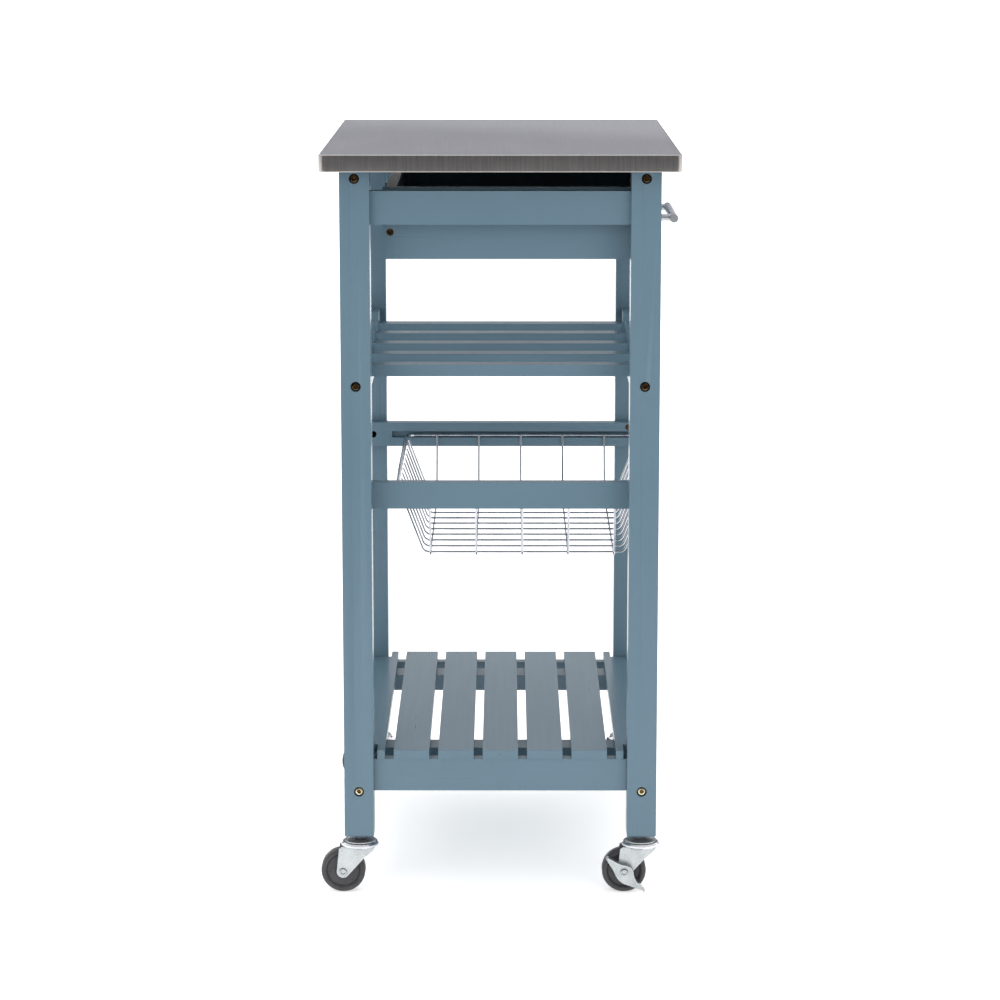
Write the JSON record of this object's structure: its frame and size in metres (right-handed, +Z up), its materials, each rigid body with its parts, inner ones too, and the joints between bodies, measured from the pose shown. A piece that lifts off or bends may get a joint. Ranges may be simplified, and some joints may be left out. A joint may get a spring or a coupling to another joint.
{
  "type": "kitchen island cart",
  "caption": "Kitchen island cart with a steel-skinned worktop, a drawer, a bottle rack, a pull-out wire basket, a slatted shelf and swivel casters, some braked.",
  "frame": {"origin": "centre of the box that holds the whole cart, on the floor under the wheels", "axes": "+X along the cart to its right end as seen from the drawer's front, -Y out of the drawer's front, +Z up"},
  "size_m": [0.58, 0.4074, 0.84],
  "materials": {
    "painted_wood": "solid wood with a satin blue-grey paint",
    "stainless_steel": "brushed stainless steel",
    "particle_board": "raw particle board",
    "bare_beech": "smooth bare hardwood",
    "hardboard": "thin hardboard painted blue-grey",
    "chromed_wire": "bright chromed wire",
    "zinc_plated_steel": "pale zinc-plated pressed steel",
    "bronzed_steel": "bronzed steel screws and bolts",
    "grey_plastic": "dark grey moulded nylon"
  },
  "bodies": {
    "cart": {"leg_front_left": "painted_wood", "leg_front_right": "painted_wood", "leg_back_left": "painted_wood", "leg_back_right": "painted_wood", "upper_end_rail_left": "painted_wood", "upper_end_rail_right": "painted_wood", "lower_end_rail_left": "painted_wood", "lower_end_rail_right": "painted_wood", "top_rail_front": "painted_wood", "top_rail_back": "painted_wood", "rack_rail_front": "painted_wood", "rack_rail_back": "painted_wood", "bottom_rail_front": "painted_wood", "bottom_rail_back": "painted_wood", "rack_slats": "painted_wood", "basket_runner_left": "painted_wood", "basket_runner_right": "painted_wood", "drawer_track_left": "painted_wood", "drawer_track_right": "painted_wood", "shelf_batten_left": "painted_wood", "shelf_batten_right": "painted_wood", "shelf_slat_front": "painted_wood", "shelf_slats_middle": "painted_wood", "shelf_slat_back": "painted_wood", "worktop_core": "particle_board", "worktop_skin": "stainless_steel", "worktop_brackets": "zinc_plated_steel", "frame_bolts": "bronzed_steel", "barrel_nuts": "zinc_plated_steel", "dowels": "bare_beech", "wood_screws": "bronzed_steel", "caster_sockets": "zinc_plated_steel", "caster_stems": "zinc_plated_steel"},
    "drawer": {"drawer_front": "painted_wood", "drawer_side_left": "painted_wood", "drawer_side_right": "painted_wood", "drawer_back": "painted_wood", "drawer_bottom": "hardboard", "drawer_screws": "bronzed_steel", "handle_bar": "stainless_steel", "handle_posts": "stainless_steel", "handle_screws": "zinc_plated_steel"},
    "basket": {"basket_rim": "chromed_wire", "basket_long_wires": "chromed_wire", "basket_cross_wires": "chromed_wire"},
    "swivel_front_left": {"fork_front_left": "zinc_plated_steel", "axle_front_left": "zinc_plated_steel"},
    "wheel_front_left": {"wheel_front_left": "grey_plastic"},
    "brake_left": {"brake_pedal_left": "zinc_plated_steel"},
    "swivel_front_right": {"fork_front_right": "zinc_plated_steel", "axle_front_right": "zinc_plated_steel"},
    "wheel_front_right": {"wheel_front_right": "grey_plastic"},
    "brake_right": {"brake_pedal_right": "zinc_plated_steel"},
    "swivel_back_left": {"fork_back_left": "zinc_plated_steel", "axle_back_left": "zinc_plated_steel"},
    "wheel_back_left": {"wheel_back_left": "grey_plastic"},
    "swivel_back_right": {"fork_back_right": "zinc_plated_steel", "axle_back_right": "zinc_plated_steel"},
    "wheel_back_right": {"wheel_back_right": "grey_plastic"}
  },
  "joints": [
    {"name": "drawer_slide", "type": "slide", "parent": "cart", "child": "drawer", "axis": [0, -1, 0], "range_m": [0, 0.22]},
    {"name": "basket_slide", "type": "slide", "parent": "cart", "child": "basket", "axis": [0, -1, 0], "range_m": [-0.013, 0.2]},
    {"name": "swivel_front_left", "type": "hinge", "parent": "cart", "child": "swivel_front_left", "pos_m": [-0.2335, -0.15925, 0.06], "axis": [0, 0, 1], "continuous": true},
    {"name": "wheel_front_left", "type": "hinge", "parent": "swivel_front_left", "child": "wheel_front_left", "pos_m": [-0.2335, -0.14025, 0.025], "axis": [1, 0, 0], "continuous": true},
    {"name": "brake_left", "type": "hinge", "parent": "swivel_front_left", "child": "brake_left", "pos_m": [-0.2335, -0.14025, 0.025], "axis": [-1, 0, 0], "range_deg": [0, 18]},
    {"name": "swivel_front_right", "type": "hinge", "parent": "cart", "child": "swivel_front_right", "pos_m": [0.2335, -0.15925, 0.06], "axis": [0, 0, 1], "continuous": true},
    {"name": "wheel_front_right", "type": "hinge", "parent": "swivel_front_right", "child": "wheel_front_right", "pos_m": [0.2335, -0.14025, 0.025], "axis": [1, 0, 0], "continuous": true},
    {"name": "brake_right", "type": "hinge", "parent": "swivel_front_right", "child": "brake_right", "pos_m": [0.2335, -0.14025, 0.025], "axis": [-1, 0, 0], "range_deg": [0, 18]},
    {"name": "swivel_back_left", "type": "hinge", "parent": "cart", "child": "swivel_back_left", "pos_m": [-0.2335, 0.15975, 0.06], "axis": [0, 0, 1], "continuous": true},
    {"name": "wheel_back_left", "type": "hinge", "parent": "swivel_back_left", "child": "wheel_back_left", "pos_m": [-0.2335, 0.17875, 0.025], "axis": [1, 0, 0], "continuous": true},
    {"name": "swivel_back_right", "type": "hinge", "parent": "cart", "child": "swivel_back_right", "pos_m": [0.2335, 0.15975, 0.06], "axis": [0, 0, 1], "continuous": true},
    {"name": "wheel_back_right", "type": "hinge", "parent": "swivel_back_right", "child": "wheel_back_right", "pos_m": [0.2335, 0.17875, 0.025], "axis": [1, 0, 0], "continuous": true}
  ]
}
